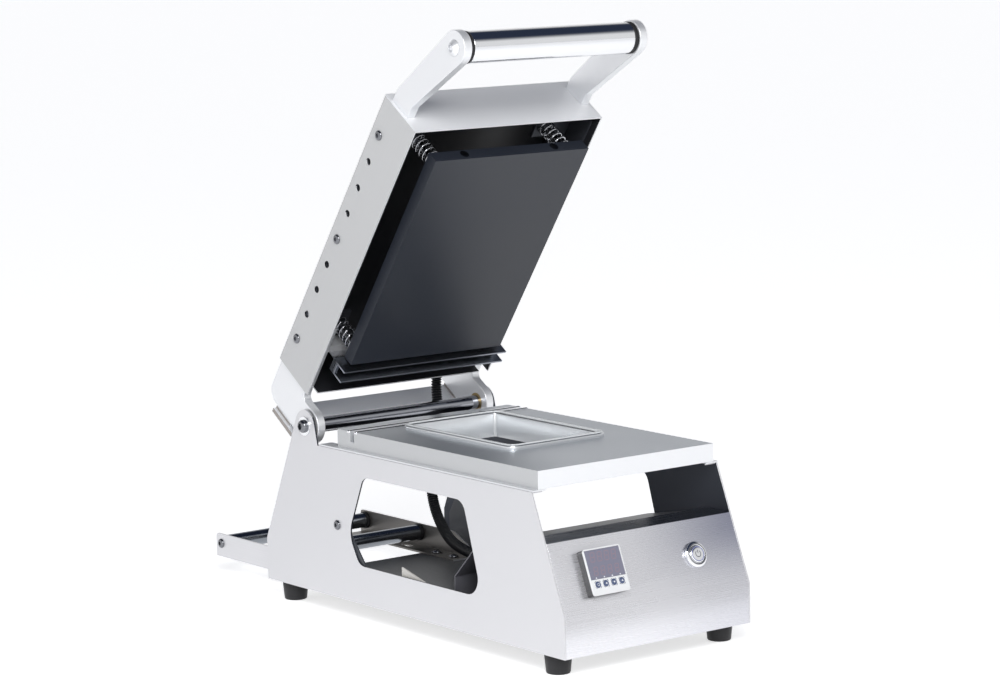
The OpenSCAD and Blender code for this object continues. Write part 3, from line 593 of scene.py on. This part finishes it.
def rounded_box(width, length, radius, steps):
    """The outline of a rectangle with round corners."""
    radius = max(radius, 0.01)
    points = []
    for quarter in range(4):
        cx = (1 if quarter in (0, 3) else -1) * (width / 2 - radius)
        cy = (1 if quarter < 2 else -1) * (length / 2 - radius)
        for i in range(steps + 1):
            turn = math.pi / 2 * (quarter + i / steps)
            points.append((cx + radius * math.cos(turn), cy + radius * math.sin(turn)))
    return points


def framed(width, length, radius, profile, closed, place, shape=None, steps=6):
    """A shape from a rounded rectangle at each (inset, height) of a profile, in millimetres.

    An open profile gets a flat lid on each of its ends.
    """
    shape = shape or bmesh.new()
    rings = []
    for inset, height in profile:
        outline = rounded_box(width - 2 * inset, length - 2 * inset, radius - inset, steps)
        rings.append([shape.verts.new(place @ Vector((x * MM, y * MM, height * MM)))
                      for x, y in outline])
    skin(shape, rings, closed)
    if not closed:
        shape.faces.new(rings[0])
        shape.faces.new(rings[-1])
    return shape


def plates(outlines, low, high, place):
    """Thin plates with the given outlines between two heights, in millimetres."""
    shape = bmesh.new()
    for outline in outlines:
        rings = [[shape.verts.new(place @ Vector((x * MM, y * MM, z * MM)))
                  for x, y in outline] for z in (low, high)]
        skin(shape, rings)
        shape.faces.new(rings[0])
        shape.faces.new(rings[1])
    return shape


def hose(points, radius_at, sides):
    """A round skin along points, whose radius is a function of the distance along them."""
    shape = bmesh.new()
    rings, run, side = [], 0.0, None
    for i, point in enumerate(points):
        ahead = (points[min(i + 1, len(points) - 1)] - points[max(i - 1, 0)]).normalized()
        run += (point - points[i - 1]).length if i else 0.0
        side = side or ahead.orthogonal()
        side = (side - ahead * side.dot(ahead)).normalized()
        other = ahead.cross(side)
        r = radius_at(run)
        rings.append([shape.verts.new(point + (side * math.cos(t) + other * math.sin(t)) * r)
                      for t in (math.tau * k / sides for k in range(sides))])
    skin(shape, rings)
    shape.faces.new(rings[0])
    shape.faces.new(rings[-1])
    return shape


def curve_through(points, step):
    """Points at even steps along a smooth curve through the given ones."""
    dense = []
    for i in range(len(points) - 1):
        a, b, c, d = (points[min(max(i + k, 0), len(points) - 1)] for k in (-1, 0, 1, 2))
        for j in range(24):
            t = j / 24
            dense.append(((2 * b) + (c - a) * t + (2 * a - 5 * b + 4 * c - d) * t * t
                          + (3 * b - a - 3 * c + d) * t ** 3) / 2)
    dense.append(points[-1])
    even, since = [dense[0]], 0.0
    for a, b in zip(dense, dense[1:]):
        length = (b - a).length
        while since + length >= step:
            share = (step - since) / length
            a = a.lerp(b, share)
            even.append(a)
            length, since = (b - a).length, 0.0
        since += length
    return even


# ---- fasteners ----

ON_THE_END = 1e-5  # points this near to a bolt's end, in metres, lie on it
RIM_SHARE = 0.98  # points farther out than this share of the head's radius are its rim


def bolts(node, place):
    """For each bolt of a node: its frame on the head's seat, with Z out of the head, and the
    head's radius and height and the shank's radius and length in millimetres."""
    found = []
    for points in islands(node, place):
        low, high = corners(points)
        size, middle = high - low, (low + high) / 2
        axis = min(range(3), key=lambda a: abs(size[(a + 1) % 3] - size[(a + 2) % 3]))

        def radius(p):
            """How far a point lies from the bolt's axis."""
            return math.hypot(*[p[a] - middle[a] for a in range(3) if a != axis])

        head_r = max(map(radius, points))
        flat = {end: max(radius(p) for p in points
                         if abs(p[axis] - end[axis]) < ON_THE_END)
                for end in (low.freeze(), high.freeze())}
        sign = 1 if flat[low] > flat[high] else -1
        rim = [p[axis] for p in points if radius(p) > RIM_SHARE * head_r]
        seat, tip = (min(rim), high[axis]) if sign > 0 else (max(rim), low[axis])
        foot = low[axis] if sign > 0 else high[axis]
        out, at = Vector((0, 0, 0)), middle.copy()
        out[axis], at[axis] = sign, seat
        found.append((place @ towards(at, out), head_r / MM, abs(tip - seat) / MM,
                      max(flat.values()) / MM, abs(seat - foot) / MM))
    return found


def button_heads(node, place=BASE, socket=0.36):
    """Button-head screws with a hexagon socket, in place of a node's plain ones.

    The dome's points are shares of the head's radius and height.
    """
    shape = bmesh.new()
    for where, head_r, head_h, shank_r, length in bolts(node, place):
        dome = [(head_r * math.cos(a), head_h * (0.14 + 0.86 * math.sin(a) ** 0.9))
                for a in (math.radians(d) for d in (4, 16, 28, 40, 50, 58))]
        flat_z = dome[-1][1] + 0.02 * head_h
        half = socket * head_r
        turned([(0, -length), (shank_r, -length), (shank_r, 0), (head_r * 0.97, 0),
                (head_r, 0.1 * head_h), *dome, (half * 1.1, flat_z, 6),
                (half, flat_z - 0.06 * head_h, 6), (half, flat_z - 0.55 * head_h, 6),
                (0, flat_z - 0.68 * head_h)], 36, shape=shape, place=where)
    return add(f"{node}_heads", shape, SLOT_OF[node], BODY_OF[node], [node], sharp=40)


# ---- base ----

# How far the sharp edges of each node's own shape are broken, in millimetres
BASE_EDGES = {
    "side_plate_left": 0.5, "side_plate_right": 0.5, "front_panel": 0.5, "base_pan": 0.4,
    "control_box_cover": 0.4, "mould_rails": 0.4, "mould_plate": 0.9, "hinge_shaft": 0.6,
    "hinge_washers": 0.3, "film_bracket_left": 0.4, "film_bracket_right": 0.4,
    "roller_axles": 0.3, "roller_bushes": 0.5, "film_roller_front": 0.7,
    "film_roller_rear": 0.7, "solid_state_relay": 0.8, "terminal_block": 0.5,
    "power_switch_nut": 0.5, "power_switch_body": 0.6, "controller_body": 0.8,
    "conduit_gland_base": 0.5, "mains_gland": 0.5, "conduit_gland_lid": 0.5,
}
LID_EDGES = {
    "lid_shell": 0.35, "lid_arm_left": 0.9, "lid_arm_right": 0.9, "arm_bushings": 0.2,
    "lid_side_rails": 0.4, "rear_stop_bar": 0.8, "spring_brackets": 0.5, "cutter_holder": 0.5,
    "cutter_blade": 0.12, "handle_arm_left": 0.7, "handle_arm_right": 0.7, "handle_tube": 0.8,
    "heater_plate": 1.2, "film_press_bars": 0.35, "guide_posts": 0.5,
}


def make_base():
    """The frame, the mould plate, the film cradle and what sits in the control box."""
    for node, width in BASE_EDGES.items():
        softened(node, width)
    button_heads("frame_screws")
    button_heads("hinge_bolts", socket=0.42)


def make_feet():
    """Tapered rubber feet with a hollow underneath and a bore for the screw."""
    taper, bore_r, hollow_r, ceiling = 2, 3.1, 7, -7
    shape = bmesh.new()
    for points in islands("rubber_feet"):
        low, high = in_mm(corners(points))
        tall, top_r = high.z - low.z, (high.x - low.x) / 2
        low_r = top_r - taper

        def at(share, inset=0.0):
            """The foot's side at a share of its height from above."""
            return (top_r + (low_r - top_r) * share - inset, -tall * share)

        turned([(bore_r, 0), at(0, 0.8), at(0.04), at(0.5), at(0.93), at(0.985, 0.5),
                at(1, 1.4), (hollow_r + 0.4, -tall), (hollow_r, -tall + 0.6),
                (hollow_r, ceiling), (bore_r, ceiling)], 48, True, shape,
               spot((low.x + high.x) / 2, (low.y + high.y) / 2, high.z))
    add("rubber_feet_piece", shape, "rubber", "base", ["rubber_feet"], sharp=50)


def make_tray_seat():
    """The tray's frame with a rounded rim, and the silicone bead on it."""
    rim, skirt, corner_r, edge_r = 10, 2, 14, 1.9
    low, high = in_mm(extent("tray_seat_frame"))
    level = extent("mould_plate")[1].z / MM
    foot, top = low.z - level, high.z - level
    round_edge = [(edge_r * (1 - math.sin(a)), top - edge_r * (1 - math.cos(a)))
                  for a in (math.radians(d) for d in (90, 65, 45, 25, 0))]
    profile = [(rim - skirt, foot), (rim - skirt, 0), (0, 0), *round_edge, (rim - 1.2, top),
               (rim - 0.35, top - 0.35), (rim, top - 1.2), (rim, foot)]
    add("tray_seat_piece", framed(high.x - low.x, high.y - low.y, corner_r, profile, True,
        spot(0, (low.y + high.y) / 2, level)), "seat", "base", ["tray_seat_frame"], sharp=50)

    bead_half, bead_corner_r = 1.75, 12.5
    low, high = in_mm(extent("seat_gasket"))
    tall = high.z - low.z
    bead = [(bead_half - bead_half * math.cos(a), tall * (0.35 + 0.65 * math.sin(a)))
            for a in (math.radians(d) for d in range(0, 181, 30))]
    profile = [(0, 0), *bead, (2 * bead_half, 0)]
    add("seat_gasket_bead", framed(high.x - low.x, high.y - low.y, bead_corner_r, profile, True,
        spot(0, (low.y + high.y) / 2, low.z)), "silicone", "base", ["seat_gasket"], sharp=50)


def make_clamp_strips():
    """Half-round strips with rounded ends on both sides of the cutter slot."""
    side_share, crown_share = 0.55, 0.45
    shape = bmesh.new()
    for points in islands("film_clamp_strips"):
        low, high = in_mm(corners(points))
        tall, wide = high.z - low.z, high.y - low.y
        crown = [(wide / 2 * (1 - math.cos(a)),
                  tall * side_share + tall * crown_share * math.sin(a))
                 for a in (math.radians(d) for d in (0, 20, 40, 60, 76))]
        framed(high.x - low.x, wide, wide / 2, [(0, 0), *crown], False,
               spot(0, (low.y + high.y) / 2, low.z), shape, 8)
    add("film_clamp_strips_piece", shape, "chrome", "base", ["film_clamp_strips"], sharp=40)


# ---- controls ----

# The middle of each bar of a digit, in widths and half heights, and 1 where it stands upright
DIGIT_BARS = [(0, 1, 0), (0, 0, 0), (0, -1, 0), (-0.5, 0.5, 1), (0.5, 0.5, 1),
              (-0.5, -0.5, 1), (0.5, -0.5, 1)]


def digit(x, y, width, height, stroke):
    """The seven bars of one unlit digit, which leans a little to the right."""
    slant = 0.14
    bars = []
    for cx, cy, upright in DIGIT_BARS:
        px, py = cx * width, cy * height / 2
        half = (height / 2 if upright else width) / 2 - stroke * 0.12
        bar = [(-half, 0), (-half + stroke / 2, -stroke / 2), (half - stroke / 2, -stroke / 2),
               (half, 0), (half - stroke / 2, stroke / 2), (-half + stroke / 2, stroke / 2)]
        points = [(px + (v if upright else u), py + (u if upright else v)) for u, v in bar]
        bars.append([(x + u + slant * v, y + v) for u, v in points])
    return bars


def arc_band(cx, cy, r, wide, start, end, steps=8):
    """The outline of a band along an arc, from start to end in degrees."""
    turns = [math.radians(start + (end - start) * i / steps) for i in range(steps + 1)]
    return ([(cx + (r + wide / 2) * math.cos(t), cy + (r + wide / 2) * math.sin(t))
             for t in turns]
            + [(cx + (r - wide / 2) * math.cos(t), cy + (r - wide / 2) * math.sin(t))
               for t in reversed(turns)])


def panel_place(node):
    """The panel's frame with its origin in the middle of a node, on the panel's face."""
    low, high = extent(node, PANEL)
    floor = extent("controller_bezel", PANEL)[0].z
    middle = Vector(((low.x + high.x) / 2, (low.y + high.y) / 2, floor))
    return Matrix.Translation(PANEL @ middle) @ PANEL


def key_marks(index, x, y):
    """The sign on a key: a ring, or a triangle that points left, down or up."""
    if index == 1:
        return [arc_band(x, y, 1.25, 0.4, a, a + 170) for a in (0, 180)]
    if index == 2:
        return [[(x - 1.3, y), (x + 0.8, y - 1.2), (x + 0.8, y + 1.2)]]
    up = 1 if index == 4 else -1
    return [[(x - 1.3, y - 0.8 * up), (x + 1.3, y - 0.8 * up), (x, y + 1.2 * up)]]


def make_controller():
    """The temperature controller: its frame, unlit display, marks and four keys."""
    softened("controller_bezel", 0.45)
    place = panel_place("controller_bezel")

    def local(node):
        """The corners of a node in the controller's frame, in millimetres."""
        return in_mm(extent(node, place))

    low, high = local("controller_window")
    wide, tall, top = high.x - low.x, high.y - low.y, high.z
    cx, cy = (low.x + high.x) / 2, (low.y + high.y) / 2
    add("controller_display", framed(wide, tall, 0.6, [(0, low.z), (0, top - 0.3),
        (0.3, top)], False, place @ spot(cx, cy, 0)), "display", "base",
        ["controller_window"])

    pitch, upper, lower, print_foot = 9.2, (0.25, 9.4), (-0.23, 8.4), top - 0.05
    bars = [bar for row, size in (upper, lower) for k in range(4)
            for bar in digit(cx + (k - 1.5) * pitch, cy + row * tall, size * 0.56, size, 1.0)]
    add("display_digits", plates(bars, print_foot, top + 0.015, place), "digits", "base",
        slot="display")
    edge = high.y - tall
    keys = [local(f"controller_key_{i}") for i in (1, 2, 3, 4)]
    centres = [((a.x + b.x) / 2, (a.y + b.y) / 2) for a, b in keys]
    marks = [[(x - 1.1, edge + 0.7), (x + 1.1, edge + 0.7), (x, edge + 2.3)]
             for x, y in centres]
    add("display_pointers", plates(marks, print_foot, top + 0.015, place), "marks", "base",
        slot="bezel")

    front = local("controller_bezel")[1].z
    tick_r, tick_wide, tick_half = 4.35, 0.55, 17
    ticks = [arc_band(x, y, tick_r, tick_wide, a - tick_half, a + tick_half, 4)
             for x, y in centres for a in (45, 135, 225, 315)]
    add("key_ticks", plates(ticks, front - 0.1, front + 0.02, place), "keys", "base")
    for i, ((a, b), (x, y)) in enumerate(zip(keys, centres), 1):
        r, crown = (b.x - a.x) / 2, b.z
        cap = turned([(0, a.z), (r, a.z), (r, crown - 0.7), (r - 0.2, crown - 0.3),
                      (r - 0.6, crown - 0.05), (r - 1.0, crown), (r * 0.5, crown - 0.12),
                      (0, crown - 0.16)], 36, place=place @ spot(x, y, 0))
        add(f"key_cap_{i}", cap, "keys", f"key_{i}", [f"controller_key_{i}"], sharp=60)
        add(f"key_sign_{i}", plates(key_marks(i, x, y), crown - 0.3, crown + 0.01, place),
            "marks", f"key_{i}", slot="keys")


def make_power_button():
    """The ringed push button: its rim with a groove, and a cap with a blue ring and a sign."""
    place = panel_place("power_button")
    rim = extent("power_switch_housing", place)[1].z / MM
    crown = extent("power_button", place)[1].z / MM
    bore_r, barrel_r, barrel_end = 9.1, 11, -22
    ring = [(bore_r, barrel_end), (barrel_r, barrel_end), (barrel_r, -0.1), (13.4, 0),
            (13.7, 0.3), (13.7, rim - 1.9), (13.4, rim - 1.2), (12.8, rim - 0.6),
            (11.9, rim - 0.2), (10.8, rim), (9.9, rim - 0.05), (9.3, rim - 0.4),
            (bore_r, rim - 0.9)]
    add("power_switch_ring", turned(ring, 64, True, place=place), "chrome", "base",
        ["power_switch_housing"], sharp=45)
    groove = [(10.2, rim - 0.4), (10.2, rim), (10.8, rim + 0.04), (11.1, rim - 0.02),
              (11.1, rim - 0.4)]
    add("power_switch_groove", turned(groove, 64, True, place=place), "sockets", "base")

    cap_r, cap_foot = 8.9, -14
    top = [(cap_r, -1.1), (8.7, -0.55), (8.3, -0.25), (7.95, -0.25), (7.9, -0.5),
           (7.15, -0.5), (7.1, -0.35), (6.6, -0.2), (5, -0.08), (2.5, -0.02), (0, 0)]
    cap = [(0, cap_foot), (cap_r, cap_foot), *((r, crown + z) for r, z in top)]
    add("power_button_cap", turned(cap, 64, place=place), "chrome", "power_button",
        ["power_button"], sharp=45)
    blue = [(7.85, crown - 0.6), (7.85, crown - 0.35), (7.2, crown - 0.35),
            (7.2, crown - 0.6)]
    add("power_button_ring", turned(blue, 64, True, place=place), "ring", "power_button")
    sign = [arc_band(0, 0, 3.3, 0.75, 125, 415, 40),
            [(-0.38, 0.6), (0.38, 0.6), (0.38, 4.2), (-0.38, 4.2)]]
    add("power_sign", plates(sign, crown - 0.4, crown + 0.02, place), "symbol", "power_button")


# ---- lid ----


def make_lid():
    """The lid with its arms, handle and knife, and the sealing head in it."""
    for node, width in LID_EDGES.items():
        softened(node, width)
    button_heads("lid_side_screws", LID)
    button_heads("lid_frame_screws", LID)


def make_handle_rings():
    """Black collars with a double groove at both ends of the tube."""
    bore_r, groove_deep = 4.2, 0.7
    shape = bmesh.new()
    for points in islands("handle_rings", LID):
        low, high = in_mm(corners(points))
        thick, r = high.x - low.x, (high.y - low.y) / 2
        side = 1 if low.x > 0 else -1
        inner = low.x if side > 0 else high.x
        where = LID @ towards(Vector((inner, (low.y + high.y) / 2, (low.z + high.z) / 2)) * MM,
                              (side, 0, 0))
        grooves = [p for z in (0.32 * thick, 0.68 * thick) for p in (
            (r, z - 0.3), (r - groove_deep, z - 0.15), (r - groove_deep, z + 0.15),
            (r, z + 0.3))]
        turned([(bore_r, 0), (r - 0.5, 0), (r - 0.1, 0.25), (r, 0.55), *grooves,
                (r, thick - 0.3), (r - 0.3, thick), (bore_r, thick)], 64, True, shape, where)
    add("handle_collars", shape, "rubber", "lid", ["handle_rings"], sharp=50)


def make_handle_screws():
    """Countersunk screws with a ring groove and a dark hexagon well."""
    shank_r, sink, well_half = 4.1, -4.2, 2.4
    shape, wells = bmesh.new(), bmesh.new()
    for where, head_r, _, _, length in bolts("handle_screws", LID):
        turned([(0, -length), (shank_r, -length), (shank_r, sink), (head_r - 0.15, -0.15),
                (head_r, 0), (head_r - 0.25, 0.08), (5.9, 0.08), (5.6, -0.4), (5.3, -0.4),
                (5.1, 0.12), (well_half + 0.2, 0.12, 6), (well_half, -0.1, 6),
                (well_half, -2.6, 6), (0, -3.1)], 48, shape=shape, place=where)
        lining = well_half - 0.04
        turned([(0, -2.5), (lining, -2.5, 6), (lining, -0.7, 6), (0, -0.9)], 48,
               shape=wells, place=where)
    add("handle_screw_heads", shape, "alu", "lid", ["handle_screws"], sharp=40)
    add("handle_screw_wells", wells, "sockets", "lid", sharp=40)


COIL_R, WIRE, COILS, CLOSED_COILS = 8.2, 2.0, 7.5, 1.0
CLOSED_PITCH = WIRE * 0.98
COIL_STEPS = 20


def coil(x, y, bottom, top):
    """The middle line of a spring's wire in the lid's frame, with a closed coil at each end."""
    line, steps = [], int(COILS * COIL_STEPS)
    for k in range(steps + 1):
        turn = COILS * k / steps
        lead = min(max((turn - CLOSED_COILS) / (COILS - 2 * CLOSED_COILS), 0), 1)
        ends = min(turn, CLOSED_COILS) + max(turn - COILS + CLOSED_COILS, 0)
        height = bottom + ends * CLOSED_PITCH + lead * (
            top - bottom - 2 * CLOSED_COILS * CLOSED_PITCH)
        angle = math.tau * turn
        line.append(LID @ (Vector((x + COIL_R * math.cos(angle),
                                   y + COIL_R * math.sin(angle), height)) * MM))
    return line


def make_springs():
    """Coil springs between the lid's spring brackets and the heater."""
    bottom = extent("heater_plate", LID)[1].z / MM + WIRE / 2
    top = extent("spring_brackets", LID)[0].z / MM - WIRE / 2
    for i, points in enumerate(islands("guide_posts", LID), 1):
        low, high = in_mm(corners(points))
        x, y = (low.x + high.x) / 2, (low.y + high.y) / 2
        wire = hose(coil(x, y, bottom, top), lambda run: WIRE / 2 * MM, 10)
        piece = add(f"press_spring_{i}", wire, "spring", None, ["press_springs"], sharp=60)
        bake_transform(piece)


# ---- conduit ----

# The conduit's route from the lid's gland to the control box, in millimetres: across from the
# middle, back from the side plates' front and up from their lower edge
CONDUIT_ROUTE = [
    (80, 468.5, 230.8), (80, 473.3, 223.9), (79.6, 476.3, 217.5), (78.8, 477.3, 208.5),
    (77, 475.5, 198), (74.5, 471, 186.5), (72, 466, 175.5), (69, 463.6, 165), (66, 463, 154),
    (62, 462.5, 139), (57, 460.5, 122), (53, 457, 104), (48, 449, 87), (43, 437, 71),
    (38, 420, 56), (33, 399, 44), (28, 375, 38), (22, 345, 36), (16, 310, 36), (11, 275, 37),
    (8, 245, 38), (8, 218, 38), (8, 199, 38),
]
CONDUIT_R, CONDUIT_RIB, CONDUIT_GROOVE = 6.15 * MM, 3.0 * MM, 1.7 * MM


def ribbed(run):
    """The conduit's radius at a distance along it."""
    wave = 0.5 + 0.5 * math.cos(math.tau * run / CONDUIT_RIB)
    return CONDUIT_R - CONDUIT_GROOVE * (1 - wave ** 0.5)


def make_conduit():
    """Corrugated conduit along a fixed route from the lid to the control box."""
    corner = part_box("side_plate_left")[0]
    route = [Vector((x * MM, corner.y + y * MM, corner.z + z * MM)) for x, y, z in CONDUIT_ROUTE]
    tube = hose(curve_through(route, CONDUIT_RIB / 8), ribbed, 18)
    piece = add("heater_conduit_piece", tube, "conduit", None, ["heater_conduit"], sharp=80,
                slot="rubber")
    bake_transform(piece)


# ---- surroundings ----

FLOOR_REACH = 90
FLOOR_TONE, FLOOR_LIFT = (0.94, 0.94, 0.94, 1), (0.66, 0.66, 0.66, 1)
BLACK, WHITE = (0, 0, 0, 1), (1, 1, 1, 1)
SKY, CEILING = (0.98, 0.98, 0.985, 1), (0.03, 0.04, 0.07, 1)
LEFT_SIDE = Vector((-0.9, -0.35, 0.3)).normalized()
AROUND, MORE_ON_THE_LEFT = 0.8, 0.35


def seen(paint):
    """1 for what the eye meets, also through glass and in polished metal."""
    rays = [paint.node("ShaderNodeLightPath", {}, out=f"Is {kind} Ray")
            for kind in ("Camera", "Glossy", "Transmission")]
    return sum(rays[1:], rays[0]).limited()


def make_floor():
    """A wide pale floor, which looks white and keeps the shadow."""
    mesh = bpy.data.meshes.new("floor")
    ends = (-FLOOR_REACH, FLOOR_REACH)
    mesh.from_pydata([(x, y, 0) for y in ends for x in ends], [], [(0, 1, 3, 2)])
    floor = bpy.data.objects.new("floor", mesh)
    scene.collection.objects.link(floor)
    material, paint = new_paint("pale_floor")
    lift = paint.mixed(seen(paint), BLACK, FLOOR_LIFT)
    paint.surface(FLOOR_TONE, 0.9, Emission_Color=lift, Emission_Strength=1)
    mesh.materials.append(material)


def make_world():
    """White all round, brighter to the left, with a dark ceiling."""
    scene.world = bpy.data.worlds.new("studio")
    scene.world.use_nodes = True
    paint = Paint(scene.world.node_tree)
    ceiling = paint.along("Generated", (0, 0, 1)).step(0.4, 0.7)
    left = paint.along("Generated", LEFT_SIDE).step(-0.3, 0.9)
    camera = paint.node("ShaderNodeLightPath", {}, out="Is Camera Ray")
    colour = paint.mixed(camera, paint.mixed(ceiling, SKY, CEILING), WHITE)
    level = (left * MORE_ON_THE_LEFT + AROUND) * (1 - camera) + camera
    glow = paint.node("ShaderNodeBackground", {}, colour, level)
    paint.node("ShaderNodeOutputWorld", {}, glow)


def make_lamp(name, at, aim, size, power):
    """A round lamp at a point, so many metres wide and of so many watts."""
    lamp = bpy.data.lights.new(name, "AREA")
    lamp.shape, lamp.size, lamp.energy = "DISK", size, power
    made = bpy.data.objects.new(name, lamp)
    made.location = at
    made.rotation_mode = "QUATERNION"
    made.rotation_quaternion = (Vector(aim) - Vector(at)).to_track_quat("-Z", "Y")
    scene.collection.objects.link(made)


def finish_rest():
    """Gives every node that still shows its own finish."""
    for name, node in NODES.items():
        if not node.hide_render:
            node.data.materials.clear()
            node.data.materials.append(FINISH[SLOT_OF[name]])


make_base()
make_feet()
make_tray_seat()
make_clamp_strips()
make_controller()
make_power_button()
make_lid()
make_handle_rings()
make_handle_screws()
make_springs()
make_conduit()
finish_rest()
make_floor()
make_world()
make_lamp("key", at=(-1.3, -1.9, 1.7), aim=(0, 0, 0.25), size=1.2, power=40)
scene.view_settings.view_transform = "Standard"
